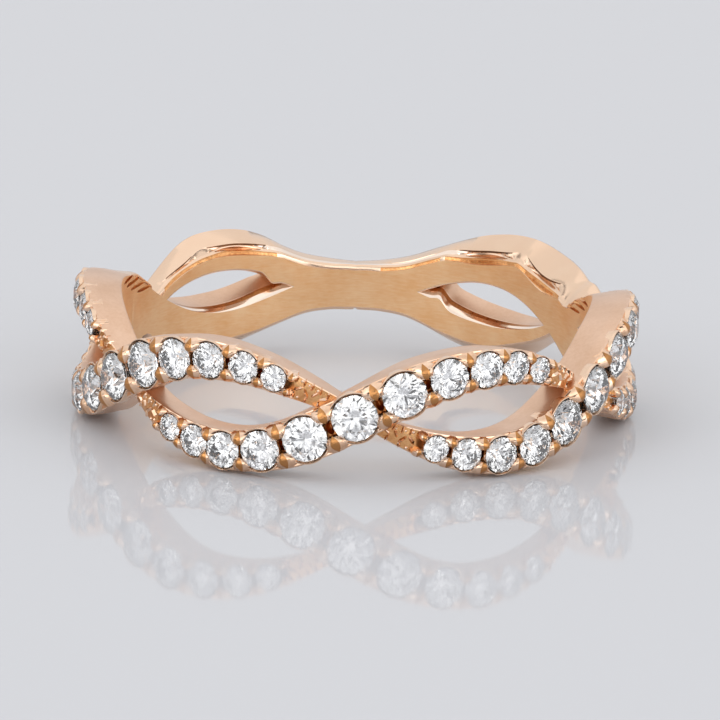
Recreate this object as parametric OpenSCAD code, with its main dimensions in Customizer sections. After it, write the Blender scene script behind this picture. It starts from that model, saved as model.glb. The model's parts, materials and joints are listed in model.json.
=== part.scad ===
/* [Band] */
// Inner diameter of the band
finger_d = 16.9; // [16.7:0.1:18]
// Height of the stones' girdles above the inner wall
stone_rise = 1.5; // [1.45:0.01:1.6]
// Height of a strand's middle above the band's mid-plane, where the strands are furthest apart
weave_h = 1.6; // [1.55:0.01:1.65]
// How far the weave leans from a plain sine wave towards each crossing
weave_lean = 0.05; // [0:0.01:0.08]
// Height of the metal's rim under the girdles, above the inner wall
rim_rise = 1.42; // [1.38:0.01:1.46]
// Height of the shoulder where the flat side walls end, above the inner wall
shoulder_rise = 1.0; // [0.9:0.01:1.1]
// How much of the weave's height is lost from the last crossing to the back
back_loss = 0.8; // [0.78:0.01:0.82]

/* [Stones] */
// Clearance between each stone and its seat
seat_gap = 0.045; // [0.03:0.005:0.06]
// Share of a stone's width that its table takes
table_share = 0.57; // [0.53:0.01:0.6]
// Angle of the crown's main facets
crown_angle = 34.5; // [33:0.5:36]
// Angle of the pavilion's main facets
pavilion_angle = 40.75; // [40:0.25:41.5]
// Half thickness of the girdle as a share of a stone's radius
girdle_share = 0.03; // [0.02:0.005:0.04]

/* [Prongs] */
// Radius of a prong at its foot
prong_r = 0.24; // [0.2:0.01:0.26]
// Height of a prong's tip above the girdles
prong_rise = 0.2; // [0.15:0.01:0.25]
// Depth of a prong's foot under the girdles
prong_foot = 0.3; // [0.25:0.01:0.35]
// Distance of a prong from the middle of its strand, as a share of the stones' width
prong_spread = 0.41; // [0.4:0.01:0.43]
// Number of sides of a prong
prong_sides = 6; // [6:1:8]

/* [Smoothness] */
// Degrees between two sections of a strand
section_step = 3; // [2:1:4]

/* [Hidden] */
finger_r = finger_d / 2;
girdle_r = finger_r + stone_rise;
// A half wave of the weave takes a sixth of the way round
pitch = 60;
// Strands cross at the front and at one and two pitches to each side
last_crossing = 2 * pitch;
// How far the swept strands reach inside the inner wall before the bore is cut
inner_spare = 0.45;
bore_h = 12;
bore_sides = 180;
// The weave's height is lost slowly at first
back_ease = 1.8;
// Share of a strand's half width at which the flat middle of its crown ends
crown_share = 0.45;
// Least height of the bevel from the shoulder to the rim
bevel_h = 0.1;
girdle_sides = 16;
// Distance of the pavilion's lower points from its middle, as a share of a stone's radius
lower_r = 0.24;
// Radius of a prong's tip as a share of its foot's
prong_taper = 0.6;
// Gap between stones, measured across them, that a prong of full radius fits
prong_gap_d = 1.6;
// The prongs past the end of a row: share of a half wave past the last stone, share of that stone's width, drop
end_share = 0.055;
end_width = 0.8;
end_drop = 0.2;

// Sections of a strand at shares of a half wave, from where it crosses over to where it passes under.
// Share, height from the strand's middle to its far edge at the inner wall and at the shoulder, the same to
// the edge near the openings, drop of the rim
FRONT = [
    [0.00, 0.85, 1.00, 0.85, 1.00, 0.00],
    [0.17, 0.83, 0.97, 0.85, 0.97, 0.00],
    [0.30, 0.68, 0.84, 0.73, 0.84, 0.00],
    [0.40, 0.59, 0.76, 0.65, 0.76, 0.00],
    [0.50, 0.53, 0.71, 0.60, 0.71, 0.02],
    [0.60, 0.48, 0.65, 0.53, 0.65, 0.13],
    [0.72, 0.46, 0.56, 0.42, 0.56, 0.20],
    [0.85, 0.40, 0.42, 0.28, 0.42, 0.30],
    [1.00, 0.30, 0.32, 0.18, 0.32, 0.50]
];
// The same from the last crossing to the back, for the strand that crosses over there
BACK_OVER = [
    [0.00, 0.85, 1.00, 0.85, 1.00, 0.00],
    [0.15, 0.55, 0.90, 0.84, 0.95, 0.02],
    [0.30, 0.40, 1.00, 0.76, 0.78, 0.04],
    [0.40, 0.37, 1.03, 0.71, 0.68, 0.05],
    [0.50, 0.34, 0.96, 0.67, 0.60, 0.08],
    [0.60, 0.38, 0.84, 0.67, 0.56, 0.11],
    [0.70, 0.38, 0.75, 0.68, 0.57, 0.15],
    [0.80, 0.39, 0.68, 0.70, 0.65, 0.20],
    [0.90, 0.53, 0.73, 0.67, 0.70, 0.25],
    [1.00, 0.67, 0.80, 0.67, 0.80, 0.27]
];
// The same for the strand that passes under there
BACK_UNDER = [
    [0.00, 0.18, 0.32, 0.18, 0.32, 0.50],
    [0.15, 0.20, 0.46, 0.22, 0.30, 0.34],
    [0.30, 0.20, 0.84, 0.34, 0.42, 0.20],
    [0.45, 0.36, 0.92, 0.42, 0.50, 0.13],
    [0.57, 0.40, 0.95, 0.45, 0.54, 0.12],
    [0.65, 0.41, 0.87, 0.50, 0.55, 0.14],
    [0.73, 0.37, 0.69, 0.54, 0.56, 0.17],
    [0.80, 0.38, 0.64, 0.66, 0.65, 0.20],
    [0.90, 0.53, 0.73, 0.67, 0.70, 0.25],
    [1.00, 0.67, 0.80, 0.67, 0.80, 0.27]
];
// How much wider than at the inner wall the lower strand's side to the openings is at its shoulder, at shares
// from the last crossing to the back
LEDGE = [
    [0.0, 0.15],
    [0.1, 0.10],
    [0.2, 0.13],
    [0.3, 0.29],
    [0.4, 0.41],
    [0.5, 0.49],
    [0.6, 0.58],
    [0.7, 0.56],
    [0.8, 0.30],
    [0.9, 0.15],
    [1.0, 0.13]
];
// Added width at angles from the front, where the strand over the last crossing has a fuller dome: at its upper
// edge on the right, at its lower edge on the left
FULL_DOME = [
    [104, 0],
    [109, 0.30],
    [114, 0.58],
    [120, 0.64],
    [126, 0.54],
    [135, 0.28],
    [142, 0.10],
    [148, 0]
];
// Height of a strand's middle above its rim, at angles from the front. The metal between the stones is hollow,
// and the plain back is crowned
CROWN = [
    [102, -0.16],
    [112, 0.02],
    [130, 0.12],
    [180, 0.14]
];
// Stones from the middle of a row to its end: share of a half wave, diameter, drop of the girdle
ROW = [
    [0.000, 1.70, 0.00],
    [0.170, 1.65, 0.00],
    [0.326, 1.45, -0.05],
    [0.467, 1.30, 0.00],
    [0.595, 1.15, 0.16],
    [0.708, 0.95, 0.20]
];
// Each row's letter, the crossing that it runs over, and its first and last stone
ROWS = [
    ["m", -2, 8, 11],
    ["l", -1, 1, 11],
    ["c", 0, 1, 11],
    ["r", 1, 1, 11],
    ["q", 2, 1, 4]
];
middle_stone = 6;

function two_figures(n) = n < 10 ? str("0", n) : str(n);
function stone_name(row, n) = str("stone_", row[0], two_figures(n));

// Smooth curve through a table's rows: column i at a share
function row_slope(table, i, k) =
    let (last = len(table) - 1)
    k == 0 || k == last ? 0 : (table[k + 1][i] - table[k - 1][i]) / (table[k + 1][0] - table[k - 1][0]);
function smooth_at(table, i, share, k = 0) =
    k < len(table) - 2 && share > table[k + 1][0] ? smooth_at(table, i, share, k + 1)
    : let (
        step = table[k + 1][0] - table[k][0],
        s = (share - table[k][0]) / step,
        from_slope = row_slope(table, i, k) * step,
        to_slope = row_slope(table, i, k + 1) * step
    )
    (2 * s ^ 3 - 3 * s ^ 2 + 1) * table[k][i] + (s ^ 3 - 2 * s ^ 2 + s) * from_slope
    + (3 * s ^ 2 - 2 * s ^ 3) * table[k + 1][i] + (s ^ 3 - s ^ 2) * to_slope;

// Height of the strand's middle at a share of a half wave past where it crosses over
function weave_z(share) = weave_h * sin(180 * share) + weave_lean * sin(360 * share);

// Point at an angle from the front, a radius and a height
function around(angle, r, z) = [r * sin(angle), -r * cos(angle), z];

// Place of a strand's sections. Strand 0 crosses over at the front centre, strand 1 one pitch on
function wrapped(share) = share - 2 * round(share / 2);
function share_at(strand, angle) = wrapped(angle / pitch - strand);
function back_share(angle) = (abs(angle) - last_crossing) / pitch;
function is_back(angle) = abs(angle) > last_crossing;
function table_at(strand, angle) = !is_back(angle) ? FRONT : strand == 0 ? BACK_OVER : BACK_UNDER;
function table_share_at(strand, angle) = is_back(angle) ? back_share(angle) : abs(share_at(strand, angle));
function middle_z(strand, angle) = weave_z(share_at(strand, angle))
    * (is_back(angle) ? 1 - back_loss * back_share(angle) ^ back_ease : 1);
function crown_at(angle) = lookup(abs(angle), CROWN);
function width_at(strand, angle, i) = smooth_at(table_at(strand, angle), i, table_share_at(strand, angle));

// Half of a section, from the foot of the side wall to the rim: radius and height from the strand's middle
function half_section(strand, angle, is_far, is_up) =
    let (
        inner_w = width_at(strand, angle, is_far ? 1 : 3),
        is_ledge = is_back(angle) && is_up && !is_far,
        is_full = strand == 0 && is_up == (angle > 0),
        outer_w = is_ledge ? inner_w + lookup(back_share(angle), LEDGE)
            : width_at(strand, angle, is_far ? 2 : 4) + (is_full ? lookup(abs(angle), FULL_DOME) : 0),
        taper = (outer_w - inner_w) / shoulder_rise,
        crown = crown_at(angle),
        rim_r = finger_r + rim_rise - width_at(strand, angle, 5)
    )
    [
        [finger_r - inner_spare, inner_w - taper * inner_spare],
        [min(finger_r + shoulder_rise, rim_r - bevel_h), outer_w],
        [rim_r - max(0, crown), outer_w - max(0, crown)],
        [rim_r + min(0, crown), (outer_w - max(0, crown)) * crown_share]
    ];

function section(strand, angle) =
    let (
        z = middle_z(strand, angle),
        up = half_section(strand, angle, z >= 0, true),
        down = half_section(strand, angle, z < 0, false)
    )
    concat(
        [for (p = down) around(angle, p[0], z - p[1])],
        [for (i = [3:-1:0]) around(angle, up[i][0], z + up[i][1])]
    );

// Closed loop of quads through rings of equal length
module loop_of(rings) {
    n = len(rings);
    m = len(rings[0]);
    polyhedron(
        points = [for (ring = rings, p = ring) p],
        faces = [
            for (i = [0:n - 1], j = [0:m - 1])
                let (
                    a = i * m + j,
                    b = i * m + (j + 1) % m,
                    c = ((i + 1) % n) * m + (j + 1) % m,
                    d = ((i + 1) % n) * m + j
                )
                each [[a, b, c], [a, c, d]]
        ]
    );
}

module strand(which) {
    loop_of([for (angle = [-180:section_step:180 - section_step]) section(which, angle)]);
}

// Places of a row's stones
function row_entry(n) = ROW[abs(n - middle_stone)];
function row_share(n) = sign(n - middle_stone) * row_entry(n)[0];
function stone_d(n) = row_entry(n)[1];
function stone_r_at(n) = girdle_r - row_entry(n)[2];
function stone_angle(row, n) = (row[1] + row_share(n)) * pitch;
function stone_z(n) = weave_z(row_share(n));
// Slope of the weave at a share, as an angle from level
function weave_slope(share, step = 0.01) =
    atan2(weave_z(share + step) - weave_z(share - step), girdle_r * 2 * step * pitch * PI / 180);

// Moves a shape that looks along +Z, with +X along the strand, to its place on the band
module on_band(angle, r, z, slope) {
    rotate([0, 0, angle])
    translate([0, -r, z])
    rotate([90, 0, 0])
    rotate([0, 0, slope])
    children();
}

function ring_points(r, z, count, turn = 0) = [
    for (i = [0:count - 1]) [r * cos(turn + i * 360 / count), r * sin(turn + i * 360 / count), z]
];

// Round brilliant of unit radius, girdle at z = 0: table, stars, mains, halves and a pointed culet
module brilliant_unit() {
    g = girdle_share;
    mains = girdle_sides / 2;
    half = 180 / mains;
    star_r = (table_share * cos(half) + 1) / 2;
    table_z = g + (1 - table_share) * tan(crown_angle);
    star_z = g + (1 - star_r * cos(half)) * tan(crown_angle);
    lower_z = -g - (1 - lower_r * cos(half)) * tan(pavilion_angle);
    culet_z = -g - tan(pavilion_angle);
    star0 = mains;
    top0 = 2 * mains;
    low0 = top0 + girdle_sides;
    lower0 = low0 + girdle_sides;
    culet = lower0 + mains;
    polyhedron(
        points = concat(
            ring_points(table_share, table_z, mains),
            ring_points(star_r, star_z, mains, half),
            ring_points(1, g, girdle_sides),
            ring_points(1, -g, girdle_sides),
            ring_points(lower_r, lower_z, mains, half),
            [[0, 0, culet_z]]
        ),
        faces = concat(
            [[for (i = [mains - 1:-1:0]) i]],
            [
                for (i = [0:mains - 1])
                    let (
                        j = (i + 1) % mains,
                        s = star0 + i,
                        s_before = star0 + (i + mains - 1) % mains,
                        g_main = 2 * i,
                        g_half = 2 * i + 1,
                        g_next = (2 * i + 2) % girdle_sides,
                        l = lower0 + i,
                        l_before = lower0 + (i + mains - 1) % mains
                    )
                    each [
                        [i, j, s],
                        [i, s, top0 + g_main],
                        [i, top0 + g_main, s_before],
                        [s, top0 + g_half, top0 + g_main],
                        [s, top0 + g_next, top0 + g_half],
                        [top0 + g_main, top0 + g_half, low0 + g_half],
                        [top0 + g_main, low0 + g_half, low0 + g_main],
                        [top0 + g_half, top0 + g_next, low0 + g_next],
                        [top0 + g_half, low0 + g_next, low0 + g_half],
                        [l, low0 + g_main, low0 + g_half],
                        [l, low0 + g_half, low0 + g_next],
                        [culet, low0 + g_main, l],
                        [culet, l_before, low0 + g_main]
                    ]
            ]
        )
    );
}

module at_stone(row, n) {
    on_band(stone_angle(row, n), stone_r_at(n), stone_z(n), weave_slope(row_share(n)))
    children();
}

// Prong that narrows to its tip, standing on the strand beside the gap between two stones
module prong(r, tip) {
    count = prong_sides;
    points = concat(ring_points(r, -prong_foot, count), ring_points(r * prong_taper, tip, count));
    polyhedron(
        points = points,
        faces = concat(
            [[for (i = [0:count - 1]) i], [for (i = [count - 1:-1:0]) count + i]],
            [
                for (i = [0:count - 1])
                    let (j = (i + 1) % count)
                    each [[i, i + count, j + count], [i, j + count, j]]
            ]
        )
    );
}

// Room for a stone and its clearance: a cone to the culet, and one to the table
module seat(d) {
    r = d / 2 + seat_gap;
    top = tan(crown_angle);
    points = concat(
        [[0, 0, -r * (girdle_share + tan(pavilion_angle)) - seat_gap / 2]],
        ring_points(r, -r * girdle_share, girdle_sides),
        ring_points(r, r * girdle_share, girdle_sides),
        ring_points(r * table_share, r * (girdle_share + (1 - table_share) * top), girdle_sides)
    );
    n = girdle_sides;
    polyhedron(
        points = points,
        faces = concat(
            [[for (i = [n:-1:1]) 2 * n + i]],
            [for (i = [0:n - 1]) [0, 1 + i, 1 + (i + 1) % n]],
            [
                for (k = [0, 1], i = [0:n - 1])
                    let (
                        a = 1 + k * n + i,
                        b = 1 + k * n + (i + 1) % n
                    )
                    each [[a, a + n, b + n], [a, b + n, b]]
            ]
        )
    );
}

// Places between the stones of a row, and past its two ends
last_stone = 2 * middle_stone - 1;
function is_end(n) = n == 0 || n == last_stone;
function gap_share(n) = n == 0 ? row_share(1) - end_share
    : n == last_stone ? row_share(last_stone) + end_share
    : (row_share(n) * stone_d(n + 1) + row_share(n + 1) * stone_d(n)) / (stone_d(n) + stone_d(n + 1));
function gap_d(n) = is_end(n) ? stone_d(1) * end_width : (stone_d(n) + stone_d(n + 1)) / 2;
function gap_drop(n) = is_end(n) ? end_drop : (row_entry(n)[2] + row_entry(n + 1)[2]) / 2;

module prongs_of(row) {
    for (n = [row[2] - 1:row[3]], side = [-1, 1])
        on_band((row[1] + gap_share(n)) * pitch, girdle_r - gap_drop(n), weave_z(gap_share(n)),
            weave_slope(gap_share(n)))
        translate([0, side * gap_d(n) * prong_spread, 0])
        prong(prong_r * sqrt(gap_d(n) / prong_gap_d), prong_rise);
}

module metal() {
    difference() {
        union() {
            strand(0);
            strand(1);
            for (row = ROWS)
                prongs_of(row);
        }
        for (row = ROWS, n = [row[2]:row[3]])
            at_stone(row, n) seat(stone_d(n));
    }
}

module band() {
    color([0.91, 0.69, 0.55])
    difference() {
        metal();
        translate([0, 0, -bore_h / 2]) cylinder(r = finger_r, h = bore_h, $fn = bore_sides);
    }
}

module stone(row, n) {
    color([0.93, 0.95, 0.97]) at_stone(row, n) scale(stone_d(n) / 2) brilliant_unit();
}

band();
for (row = ROWS, n = [row[2]:row[3]])
    stone(row, n);
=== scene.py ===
import json
import math

import bmesh
import bpy
import numpy as np
from mathutils import Matrix, Vector


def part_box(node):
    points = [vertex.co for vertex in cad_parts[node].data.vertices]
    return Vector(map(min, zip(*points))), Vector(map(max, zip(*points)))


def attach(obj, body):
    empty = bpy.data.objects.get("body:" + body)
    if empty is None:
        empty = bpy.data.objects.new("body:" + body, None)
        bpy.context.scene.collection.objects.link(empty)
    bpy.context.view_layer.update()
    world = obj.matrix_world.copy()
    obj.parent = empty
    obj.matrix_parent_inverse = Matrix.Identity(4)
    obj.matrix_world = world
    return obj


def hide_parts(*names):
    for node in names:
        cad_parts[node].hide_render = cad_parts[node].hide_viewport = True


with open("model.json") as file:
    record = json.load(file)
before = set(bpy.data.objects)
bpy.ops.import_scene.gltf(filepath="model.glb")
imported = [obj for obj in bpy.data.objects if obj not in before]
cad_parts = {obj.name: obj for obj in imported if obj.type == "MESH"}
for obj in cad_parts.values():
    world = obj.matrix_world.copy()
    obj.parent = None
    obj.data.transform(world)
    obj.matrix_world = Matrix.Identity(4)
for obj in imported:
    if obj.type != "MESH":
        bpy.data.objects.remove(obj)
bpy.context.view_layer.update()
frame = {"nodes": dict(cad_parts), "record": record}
scene = bpy.context.scene
mm = 0.001
print("frame loaded,", len(frame["nodes"]), "nodes")

# The photograph is 720 pixels wide and high
cameraSettings = {
    "distance": 1000,  # mm, long enough for nearly parallel lines
    "elevation": 14.69,  # degrees above the floor
    "yaw": 0.33,
    "roll": 1.59,  # the right side hangs lower
    "pixelsPerMm": 27.83,
    "imageSize": 720,
    "ringCentre": (355.19, 347.7),  # pixels
    "sensor": 36,
    "clip": (0.05, 20),  # metres
}


def makeCamera(settings):
    yaw, tilt, roll = (math.radians(settings[name]) for name in ("yaw", "elevation", "roll"))
    right = Vector((math.cos(yaw), -math.sin(yaw), 0))
    ahead = Vector((math.sin(yaw), math.cos(yaw), 0))
    up = Vector((0, 0, 1)) * math.cos(tilt) + ahead * math.sin(tilt)
    look = ahead * math.cos(tilt) - Vector((0, 0, 1)) * math.sin(tilt)
    across = right * math.cos(roll) + up * math.sin(roll)
    above = up * math.cos(roll) - right * math.sin(roll)
    half = settings["imageSize"] / 2
    offX = (half - settings["ringCentre"][0]) / settings["pixelsPerMm"]
    offY = (half - settings["ringCentre"][1]) / settings["pixelsPerMm"]
    place = (across * offX - above * offY - look * settings["distance"]) * mm
    data = bpy.data.cameras.new("photoCamera")
    data.sensor_width = settings["sensor"]
    data.lens = settings["sensor"] * settings["distance"] * settings["pixelsPerMm"] / settings["imageSize"]
    data.clip_start, data.clip_end = settings["clip"]
    camera = bpy.data.objects.new("photoCamera", data)
    scene.collection.objects.link(camera)
    camera.matrix_world = Matrix.Translation(place) @ Matrix((across, above, -look)).transposed().to_4x4()
    scene.camera = camera


makeCamera(cameraSettings)
print("camera placed")


# Materials. Patterns read Object coordinates, in metres
def newMaterial(name):
    material = bpy.data.materials.new(name)
    material.use_nodes = True
    nodes = material.node_tree.nodes
    return material, nodes, material.node_tree.links, nodes["Principled BSDF"]


def addNode(nodes, kind, **values):
    node = nodes.new(kind)
    for name, value in values.items():
        if hasattr(node, name):
            setattr(node, name, value)
        else:
            node.inputs[name.replace("_", " ")].default_value = value
    return node


# An input takes a fixed value, or what comes out of another node
def feed(links, socket, source):
    if isinstance(source, bpy.types.NodeSocket):
        links.new(source, socket)
    else:
        socket.default_value = source


def addMath(nodes, links, operation, *sources):
    node = addNode(nodes, "ShaderNodeMath", operation=operation)
    for socket, source in zip(node.inputs, sources):
        feed(links, socket, source)
    return node.outputs["Value"]


# A Mix node repeats its sockets' names for every kind of data, so those for colours go by number
colourMix = {"share": 0, "first": 6, "second": 7, "result": 2}


def addColourMix(nodes, links, **sources):
    node = addNode(nodes, "ShaderNodeMix", data_type="RGBA")
    for name, source in sources.items():
        feed(links, node.inputs[colourMix[name]], source)
    return node.outputs[colourMix["result"]]


def addRamp(nodes, links, source, stops):
    node = addNode(nodes, "ShaderNodeValToRGB")
    for element, (position, colour) in zip(node.color_ramp.elements, stops):
        element.position = position
        element.color = (*colour, 1)
    links.new(source, node.inputs["Fac"])
    return node.outputs["Color"]


# Finishes of the rose gold, in the order in which the band's faces number them, some with painted light and
# shade in their tints, as noted at each. The last column is the noise scale of the polishing lines along X, Y
# and Z
goldColumns = ("tint", "darker", "roughness", "grain", "lines")
goldTable = {
    "satin": ((0.79, 0.545, 0.40), (0.70, 0.455, 0.31), (0.27, 0.40), 0.10, (9000, 9000, 3000)),
    # inside: the brushed inner wall; its tint, lighter and more orange than the satin walls', is painted
    # light and reflected gold
    "inside": ((1.0, 0.70, 0.42), (0.92, 0.55, 0.27), (0.32, 0.46), 0.14, (2500, 2500, 14000)),
    "polished": ((0.85, 0.625, 0.465), (0.83, 0.595, 0.435), (0.15, 0.24), 0.02, (1500, 1500, 1500)),
    "cut": ((0.90, 0.66, 0.50), (0.80, 0.51, 0.33), (0.04, 0.14), 0.10, (6000, 6000, 6000)),
    # deep: dark brown, painted shade for the crevices between the stones and for the ledges' walls
    "deep": ((0.60, 0.27, 0.10), (0.38, 0.15, 0.05), (0.20, 0.40), 0.10, (6000, 6000, 6000)),
    # groundShade: darker orange, painted shade on the carved tops and in the grooves, and painted reflected
    # gold in the hollows
    "groundShade": ((0.82, 0.45, 0.20), (0.52, 0.21, 0.07), (0.05, 0.22), 0.60, (9000, 9000, 9000)),
    # crease: near black, a painted shadow line along the crease over a hollow
    "crease": ((0.20, 0.08, 0.03), (0.09, 0.035, 0.015), (0.15, 0.30), 0.05, (6000, 6000, 6000)),
    # bright: near white, painted highlights on the back's lower edge and on the ledges' bevels
    "bright": ((1.0, 0.84, 0.72), (0.97, 0.80, 0.66), (0.06, 0.14), 0.02, (1500, 1500, 1500)),
}
# The same for all of them
goldPattern = {
    "lineDetail": 6.0,
    "lineRoughness": 0.65,
    "cloudScale": 900.0,
    "cloudDetail": 3.0,
    "mottle": (0.75, 1.25),  # sums of lines and clouds that give the darker and the lighter tint
    "bump": 0.00002,  # metres
    # darker orange of the brushed facets, painted shade
    "facetShadeTint": (0.52, 0.245, 0.09),
    "facetRoughness": 0.12,  # added on the facets
}


# Rose gold with fine polishing lines. Where the attribute "facet" is 1, the graver left it brushed, and its
# darker orange tint is painted shade
def makeGold(finish, settings, pattern):
    material, nodes, links, shader = newMaterial(finish + "RoseGold")
    shader.inputs["Metallic"].default_value = 1
    coords = addNode(nodes, "ShaderNodeTexCoord")
    mapping = addNode(nodes, "ShaderNodeMapping", Scale=settings["lines"])
    links.new(coords.outputs["Object"], mapping.inputs["Vector"])
    lines = addNode(nodes, "ShaderNodeTexNoise", Scale=1.0, Detail=pattern["lineDetail"])
    lines.inputs["Roughness"].default_value = pattern["lineRoughness"]
    links.new(mapping.outputs["Vector"], lines.inputs["Vector"])
    clouds = addNode(nodes, "ShaderNodeTexNoise", Scale=pattern["cloudScale"], Detail=pattern["cloudDetail"])
    links.new(coords.outputs["Object"], clouds.inputs["Vector"])
    darkest, lightest = pattern["mottle"]
    mottle = addNode(nodes, "ShaderNodeMapRange", From_Min=darkest, From_Max=lightest)
    streaks = addMath(nodes, links, "ADD", clouds.outputs["Fac"], lines.outputs["Fac"])
    links.new(streaks, mottle.inputs["Value"])
    darker, lighter = (*settings["darker"], 1), (*settings["tint"], 1)
    tint = addColourMix(nodes, links, share=mottle.outputs["Result"], first=darker, second=lighter)
    facet = addNode(nodes, "ShaderNodeAttribute", attribute_name="facet").outputs["Fac"]
    tint = addColourMix(nodes, links, share=facet, first=tint, second=(*pattern["facetShadeTint"], 1))
    links.new(tint, shader.inputs["Base Color"])
    smoothest, roughest = settings["roughness"]
    rough = addNode(nodes, "ShaderNodeMapRange", To_Min=smoothest, To_Max=roughest)
    links.new(lines.outputs["Fac"], rough.inputs["Value"])
    wider = addMath(nodes, links, "MULTIPLY_ADD", facet, pattern["facetRoughness"], rough.outputs["Result"])
    links.new(wider, shader.inputs["Roughness"])
    bump = addNode(nodes, "ShaderNodeBump", Strength=settings["grain"], Distance=pattern["bump"])
    links.new(lines.outputs["Fac"], bump.inputs["Height"])
    links.new(bump.outputs["Normal"], shader.inputs["Normal"])
    return material


gold = {name: makeGold(name, dict(zip(goldColumns, row)), goldPattern) for name, row in goldTable.items()}
finishNumber = {name: number for number, name in enumerate(gold)}

stoneSettings = {
    "ior": 2.42,
    "clear": 0.96,
    "body": (1.0, 1.0, 1.0),
    "darkReflection": (0.55, 0.56, 0.58),
    "darkReflectionScale": 14000,
    "darkReflectionEdge": (0.03, 0.10),  # where a painted dark reflection starts to fade and ends
}


# Clear stone with painted dark reflections: grey spots in its colour stand in for the dark reflections in its
# facets
def makeStone(settings):
    material, nodes, links, shader = newMaterial("clearStone")
    shader.inputs["Roughness"].default_value = 0
    shader.inputs["IOR"].default_value = settings["ior"]
    shader.inputs["Transmission Weight"].default_value = settings["clear"]
    coords = addNode(nodes, "ShaderNodeTexCoord")
    darkReflections = addNode(nodes, "ShaderNodeTexVoronoi", Scale=settings["darkReflectionScale"])
    links.new(coords.outputs["Object"], darkReflections.inputs["Vector"])
    stops = zip(settings["darkReflectionEdge"], (settings["darkReflection"], settings["body"]))
    links.new(addRamp(nodes, links, darkReflections.outputs["Distance"], stops), shader.inputs["Base Color"])
    return material


clearStone = makeStone(stoneSettings)
print("materials made")


# The band's shape: mm, and shares of a half wave of the weave
bandSettings = {
    "innerR": frame["record"]["mounts"][0]["dims"]["r_mm"],
    "stoneRise": 1.5,  # girdles above the inner wall
    "weaveHeight": 1.6,
    "weaveLean": 0.05,
    "rimRise": 1.42,
    "crown": -0.16,  # hollow under the stones
    "taperCrown": 0.03,  # where a strand passes under, without stones
    "taper": (0.74, 0.80),  # shares between which the crown changes
    "shoulderRise": 1.0,
    "backLoss": 0.8,
    "backEase": 1.8,
    "pitch": 60,  # degrees from one crossing to the next
    "step": 0.6,  # degrees between two sections
    "rows": 22,  # points up half a section
    "plain": (103, 113),  # degrees from the front between which the plain back begins
    "spare": 0.45,  # how far the strands reach inside the inner wall before the hole is cut
}
fingerR = bandSettings["innerR"]
girdleR = fingerR + bandSettings["stoneRise"]
pitch = bandSettings["pitch"]
lastCrossing = 2 * pitch

# Half heights of a strand: at the inner wall and at the shoulder on its far side, the same on the side near
# the openings, then the rim's drop
shapeColumns = ("share", "farIn", "farOut", "nearIn", "nearOut", "drop")
frontShape = [
    (0.00, 0.85, 1.00, 0.85, 1.00, 0.00),
    (0.17, 0.83, 0.97, 0.85, 0.97, 0.00),
    (0.30, 0.68, 0.84, 0.73, 0.84, 0.00),
    (0.40, 0.59, 0.76, 0.65, 0.76, 0.00),
    (0.50, 0.53, 0.71, 0.60, 0.71, 0.02),
    (0.60, 0.48, 0.65, 0.53, 0.65, 0.13),
    (0.72, 0.46, 0.56, 0.42, 0.56, 0.20),
    (0.85, 0.40, 0.42, 0.28, 0.42, 0.30),
    (1.00, 0.30, 0.32, 0.18, 0.32, 0.50),
]
backOver = [
    (0.00, 0.85, 1.00, 0.85, 1.00, 0.00),
    (0.15, 0.55, 0.90, 0.84, 0.95, 0.02),
    (0.30, 0.40, 1.00, 0.76, 0.78, 0.04),
    (0.40, 0.37, 1.03, 0.71, 0.68, 0.05),
    (0.50, 0.34, 0.96, 0.67, 0.60, 0.08),
    (0.60, 0.38, 0.84, 0.67, 0.56, 0.11),
    (0.70, 0.38, 0.75, 0.68, 0.57, 0.15),
    (0.80, 0.39, 0.68, 0.70, 0.65, 0.20),
    (0.90, 0.53, 0.73, 0.67, 0.70, 0.25),
    (1.00, 0.67, 0.80, 0.67, 0.80, 0.27),
]
backUnder = [
    (0.00, 0.18, 0.32, 0.18, 0.32, 0.50),
    (0.15, 0.20, 0.46, 0.22, 0.30, 0.34),
    (0.30, 0.20, 0.84, 0.34, 0.42, 0.20),
    (0.45, 0.36, 0.92, 0.42, 0.50, 0.13),
    (0.57, 0.40, 0.95, 0.45, 0.54, 0.12),
    (0.61, 0.40, 0.92, 0.50, 0.55, 0.13),
    (0.65, 0.41, 0.87, 0.78, 0.56, 0.14),
    (0.69, 0.39, 0.78, 0.67, 0.56, 0.15),
    (0.73, 0.37, 0.69, 0.66, 0.56, 0.17),
    (0.80, 0.38, 0.64, 0.66, 0.65, 0.20),
    (0.90, 0.53, 0.73, 0.67, 0.70, 0.25),
    (1.00, 0.67, 0.80, 0.67, 0.80, 0.27),
]
# Hollow polished facets between the inner wall and the back's dome, of the strand that crosses over last and
# of the other: share in the middle, half length, depth, how far they cut down the inner wall
hollows = [
    [(0.14, 0.15, 1.0, 0.32), (0.45, 0.19, 1.0, 0.30), (0.77, 0.17, 0.35, 0.0)],
    [(0.21, 0.14, 0.7, 0.0), (0.50, 0.20, 1.0, 0.20)],
]
# Chamfer of the back's sides by the openings: share and width
chamfers = [(0.0, 0), (0.1, 0.03), (0.4, 0.09), (0.66, 0.17), (0.76, 0.12), (0.84, 0.0)]
# The openings end early at the last crossings: degrees from the front where the added width starts, is full,
# starts to fade and ends
earlyEnd = {"angles": (101, 110, 114, 119), "width": 0.32}
# Fuller dome beside the last crossing, on the upper side of the right and the lower side of the left, in the
# same way
fullDome = {"angles": (102, 113, 120, 148), "width": 0.72}
# The lower strand's side to the openings at the back: share, width of the bevel at the inner wall, of it all
ledges = [
    (0.00, 0.02, 0.15),
    (0.10, 0.03, 0.10),
    (0.20, 0.08, 0.13),
    (0.30, 0.13, 0.29),
    (0.40, 0.19, 0.41),
    (0.50, 0.24, 0.49),
    (0.60, 0.32, 0.58),
    (0.70, 0.32, 0.56),
    (0.80, 0.12, 0.30),
    (0.90, 0.04, 0.15),
    (1.00, 0.02, 0.13),
]
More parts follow.
